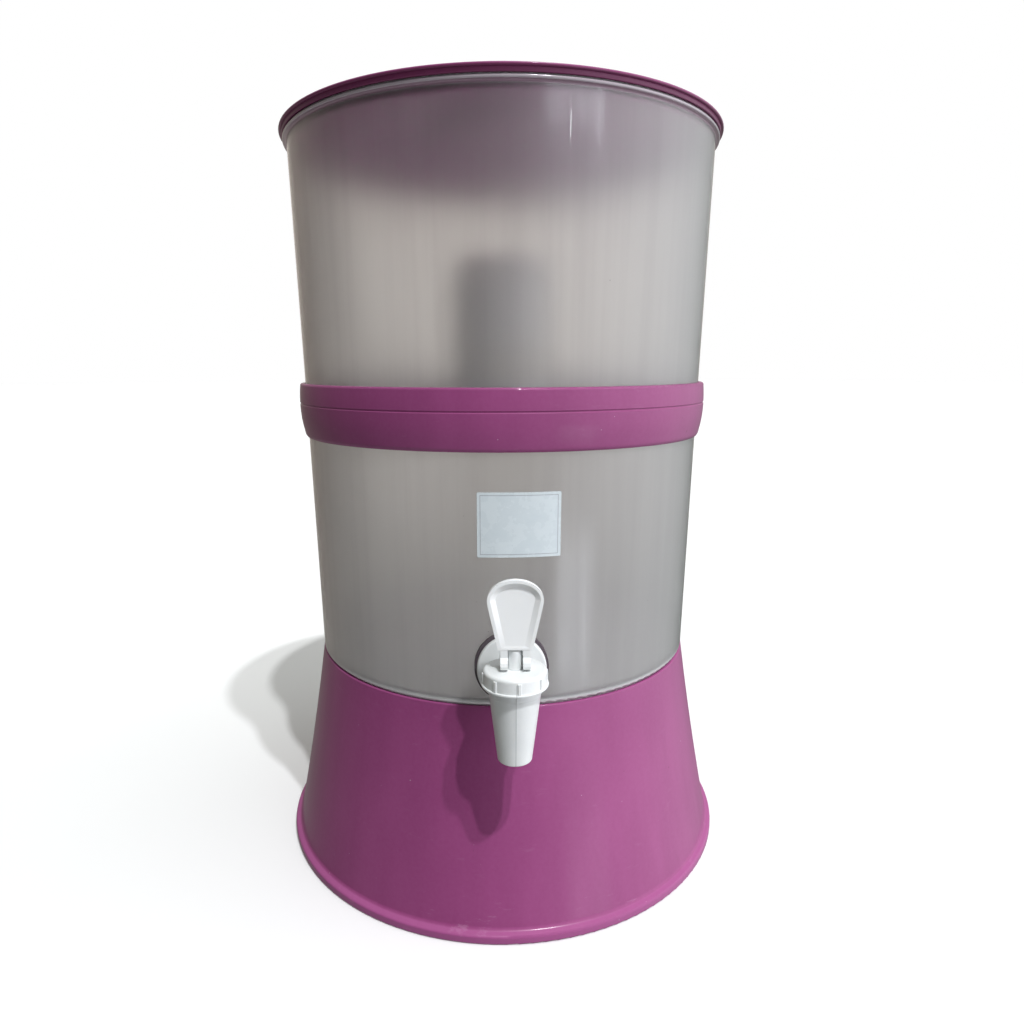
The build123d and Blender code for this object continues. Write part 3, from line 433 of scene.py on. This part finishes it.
for az, el, sharp, col in LOBES:
    a, e = math.radians(az), math.radians(el)
    dot = wt.nodes.new("ShaderNodeVectorMath")
    dot.operation = "DOT_PRODUCT"
    wt.links.new(wdir, dot.inputs[0])
    dot.inputs[1].default_value = (math.sin(a) * math.cos(e), -math.cos(a) * math.cos(e), math.sin(e))
    pos = wt.nodes.new("ShaderNodeMath")
    pos.operation = "MAXIMUM"
    wt.links.new(dot.outputs["Value"], pos.inputs[0])
    pos.inputs[1].default_value = 0.0
    pw = wt.nodes.new("ShaderNodeMath")
    pw.operation = "POWER"
    wt.links.new(pos.outputs[0], pw.inputs[0])
    pw.inputs[1].default_value = sharp
    sc_ = wt.nodes.new("ShaderNodeVectorMath")
    sc_.operation = "SCALE"
    sc_.inputs[0].default_value = col
    wt.links.new(pw.outputs[0], sc_.inputs["Scale"])
    if total is None:
        total = sc_.outputs[0]
    else:
        ad = wt.nodes.new("ShaderNodeVectorMath")
        ad.operation = "ADD"
        wt.links.new(total, ad.inputs[0])
        wt.links.new(sc_.outputs[0], ad.inputs[1])
        total = ad.outputs[0]


def wmath(op, a, b=0.0, c=0.0):
    n = wt.nodes.new("ShaderNodeMath")
    n.operation = op
    for socket, v in zip(n.inputs, (a, b, c)):
        if isinstance(v, bpy.types.NodeSocket):
            wt.links.new(v, socket)
        else:
            socket.default_value = v
    return n.outputs[0]


def band(v, lo, hi, soft):
    """1 where v is between lo and hi, with soft ends"""
    parts = []
    for a, b in ((lo - soft, lo + soft), (hi + soft, hi - soft)):
        n = wt.nodes.new("ShaderNodeMapRange")
        n.interpolation_type = "SMOOTHSTEP"
        wt.links.new(v, n.inputs["Value"])
        for k, x in zip(("From Min", "From Max", "To Min", "To Max"), (a, b, 0.0, 1.0)):
            n.inputs[k].default_value = x
        parts.append(n.outputs[0])
    return wmath("MULTIPLY", *parts)


# an open door in the room: its lintel, its right jamb and the bright ground seen through it
wxyz = wt.nodes.new("ShaderNodeSeparateXYZ")
wt.links.new(wdir, wxyz.inputs[0])
azim = wmath("MULTIPLY", wmath("ARCTAN2", wxyz.outputs[0], wmath("MULTIPLY", wxyz.outputs[1], -1.0)), 57.29578)
elev = wmath("MULTIPLY", wmath("ARCSINE", wxyz.outputs[2]), 57.29578)
lintel = wmath("MULTIPLY", band(azim, 18.0, 49.2, 0.8), band(elev, 13.6, 16.0, 0.3))
jamb = wmath("MULTIPLY", band(azim, 44.5, 49.2, 0.4), band(elev, 12.5, 14.2, 0.4))
ground = wmath("MULTIPLY", band(azim, 30.0, 52.0, 3.0), band(elev, -27.0, -15.0, 2.0))
slats = wt.nodes.new("ShaderNodeTexNoise")
slats.inputs["Scale"].default_value = 1.0
flat = wt.nodes.new("ShaderNodeCombineXYZ")
wt.links.new(wmath("MULTIPLY_ADD", elev, 0.12, wmath("MULTIPLY", azim, 0.45)), flat.inputs[0])
wt.links.new(flat.outputs[0], slats.inputs["Vector"])
broken = wmath("MULTIPLY_ADD", slats.outputs["Fac"], 4.0, -1.4)
broken = wmath("MINIMUM", wmath("MAXIMUM", broken, 0.15), 1.0)
door = wmath("ADD", wmath("MULTIPLY", wmath("MAXIMUM", lintel, jamb), 5.0), wmath("MULTIPLY", ground, 3.0))
door = wmath("MULTIPLY", door, broken)
glow = wt.nodes.new("ShaderNodeVectorMath")
glow.operation = "SCALE"
glow.inputs[0].default_value = (0.96, 1.0, 1.08)
wt.links.new(door, glow.inputs["Scale"])
both = wt.nodes.new("ShaderNodeVectorMath")
both.operation = "ADD"
wt.links.new(total, both.inputs[0])
wt.links.new(glow.outputs[0], both.inputs[1])
total = both.outputs[0]

bg = wt.nodes.new("ShaderNodeBackground")
wt.links.new(total, bg.inputs["Color"])
seen = wt.nodes.new("ShaderNodeBackground")
seen.inputs["Color"].default_value = (1.0, 1.0, 1.0, 1.0)
seen.inputs["Strength"].default_value = 1.0
path = wt.nodes.new("ShaderNodeLightPath")
wmix = wt.nodes.new("ShaderNodeMixShader")
wt.links.new(path.outputs["Is Camera Ray"], wmix.inputs[0])
wt.links.new(bg.outputs[0], wmix.inputs[1])
wt.links.new(seen.outputs[0], wmix.inputs[2])
wt.links.new(wmix.outputs[0], wout.inputs["Surface"])
scene.world = world

scene.view_settings.view_transform = "Standard"
scene.view_settings.look = "None"
scene.cycles.max_bounces = 24
scene.cycles.transmission_bounces = 20
scene.cycles.transparent_max_bounces = 16
scene.cycles.sample_clamp_indirect = 6.0
scene.cycles.use_denoising = True
